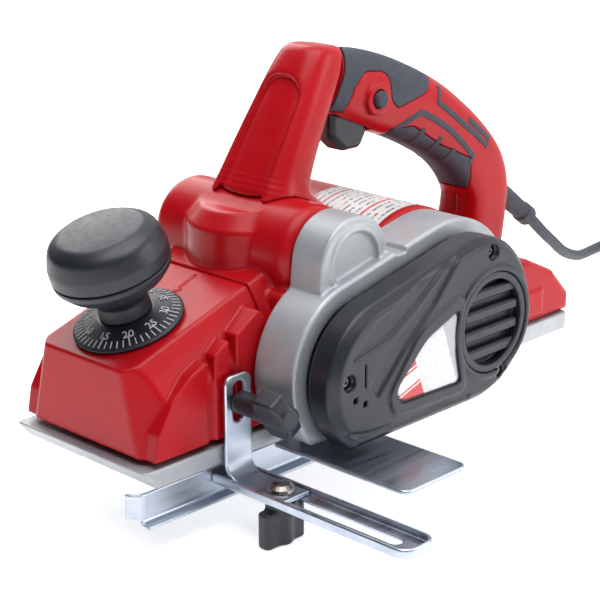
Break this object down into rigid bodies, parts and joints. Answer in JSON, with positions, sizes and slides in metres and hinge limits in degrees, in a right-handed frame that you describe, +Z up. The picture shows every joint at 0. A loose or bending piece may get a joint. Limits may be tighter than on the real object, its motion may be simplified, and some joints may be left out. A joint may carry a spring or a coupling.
{
  "type": "electric hand planer",
  "caption": "Handheld electric planer with a D-shaped grip, a depth knob, a side belt drive, a parallel fence and a mains lead.",
  "frame": {"origin": "centre of the rear shoe's sole", "axes": "+X to the rear along the sole, +Y to the tool's right, +Z up from the sole"},
  "size_m": [0.7784, 0.3086, 0.2502],
  "materials": {
    "red_plastic": "moulded, satin gloss",
    "dark_plastic": "fine moulded texture",
    "soft_rubber": "matt",
    "cast_aluminium": "die-cast, machined sole",
    "zinc_steel": "zinc-plated",
    "hard_steel": "machined",
    "copper_winding": "varnished winding",
    "printed_label": "printed film"
  },
  "bodies": {
    "body": {"front_cover": "red_plastic", "main_housing": "red_plastic", "rear_housing": "red_plastic", "handle_front": "red_plastic", "handle_left": "red_plastic", "handle_right": "red_plastic", "belt_cover": "dark_plastic", "cover_grille": "dark_plastic", "switch_body": "dark_plastic", "grip_saddle": "soft_rubber", "grip_underside": "soft_rubber", "drive_belt": "soft_rubber", "strain_relief": "soft_rubber", "cord_lead": "soft_rubber", "cord_coil": "soft_rubber", "cord_tail": "soft_rubber", "plug": "soft_rubber", "rear_shoe": "cast_aluminium", "side_casting": "cast_aluminium", "right_plate": "cast_aluminium", "side_plate": "zinc_steel", "plate_screw_1": "zinc_steel", "plate_screw_2": "zinc_steel", "plug_pin_1": "zinc_steel", "plug_pin_2": "zinc_steel", "drum_bearing_left": "hard_steel", "drum_bearing_right": "hard_steel", "motor_bearing_left": "hard_steel", "motor_bearing_right": "hard_steel", "motor_stator": "hard_steel", "cover_screw_1": "hard_steel", "cover_screw_2": "hard_steel", "cover_screw_3": "hard_steel", "rating_label": "printed_label", "cover_label": "printed_label"},
    "shoe": {"front_shoe": "cast_aluminium"},
    "knob": {"dial": "dark_plastic", "knob_lower": "dark_plastic", "knob_top": "dark_plastic", "depth_spindle": "hard_steel"},
    "drum": {"cutter_drum": "hard_steel", "knife_1": "hard_steel", "knife_2": "hard_steel", "knife_clamp_1": "hard_steel", "knife_clamp_2": "hard_steel", "drum_pulley": "dark_plastic"},
    "motor": {"motor_armature": "copper_winding", "motor_pulley": "dark_plastic"},
    "trigger": {"trigger": "dark_plastic"},
    "lock_button": {"lock_button": "dark_plastic"},
    "bracket": {"fence_bracket": "zinc_steel", "fence_bolt": "hard_steel"},
    "arm": {"fence_arm": "zinc_steel", "fence": "zinc_steel"},
    "wing_knob": {"wing_knob": "dark_plastic"},
    "clamp_screw": {"clamp_screw": "dark_plastic"}
  },
  "joints": [
    {"name": "knob_turn", "type": "hinge", "parent": "body", "child": "knob", "pos_m": [-0.223, 0, 0.07387], "axis": [-0.309, 0, 0.9511], "range_deg": [0, 320]},
    {"name": "shoe_lift", "type": "slide", "parent": "body", "child": "shoe", "axis": [0, 0, 1], "range_m": [0, 0.003]},
    {"name": "motor_spin", "type": "hinge", "parent": "body", "child": "motor", "pos_m": [-0.046, 0, 0.06], "axis": [0, 1, 0], "continuous": true},
    {"name": "drum_spin", "type": "hinge", "parent": "body", "child": "drum", "pos_m": [-0.131, 0, 0.031], "axis": [0, 1, 0], "continuous": true},
    {"name": "trigger_pull", "type": "hinge", "parent": "body", "child": "trigger", "pos_m": [-0.059, 0, 0.169], "axis": [0, -1, 0], "range_deg": [0, 9], "stiffness_Nm_per_rad": 1.2, "springref_deg": -8.59},
    {"name": "lock_press", "type": "slide", "parent": "body", "child": "lock_button", "axis": [0, 1, 0], "range_m": [0, 0.0028], "stiffness_N_per_m": 600, "springref_m": -0.003},
    {"name": "fence_height", "type": "slide", "parent": "body", "child": "bracket", "axis": [0, 0, 1], "range_m": [-0.007, 0.0022]},
    {"name": "fence_reach", "type": "slide", "parent": "bracket", "child": "arm", "axis": [0, 1, 0], "range_m": [-0.0075, 0.085]},
    {"name": "wing_knob_turn", "type": "hinge", "parent": "bracket", "child": "wing_knob", "pos_m": [-0.1975, -0.093, -0.012], "axis": [0, 0, 1], "range_deg": [0, 180]},
    {"name": "clamp_screw_turn", "type": "hinge", "parent": "body", "child": "clamp_screw", "pos_m": [-0.1975, -0.064, 0.036], "axis": [0, 1, 0], "range_deg": [0, 180]}
  ],
  "couplings": [
    {"joint": "knob_turn", "follows": "shoe_lift", "rad_per_m": 1861.7},
    {"joint": "motor_spin", "follows": "drum_spin", "ratio": 0.88235}
  ]
}
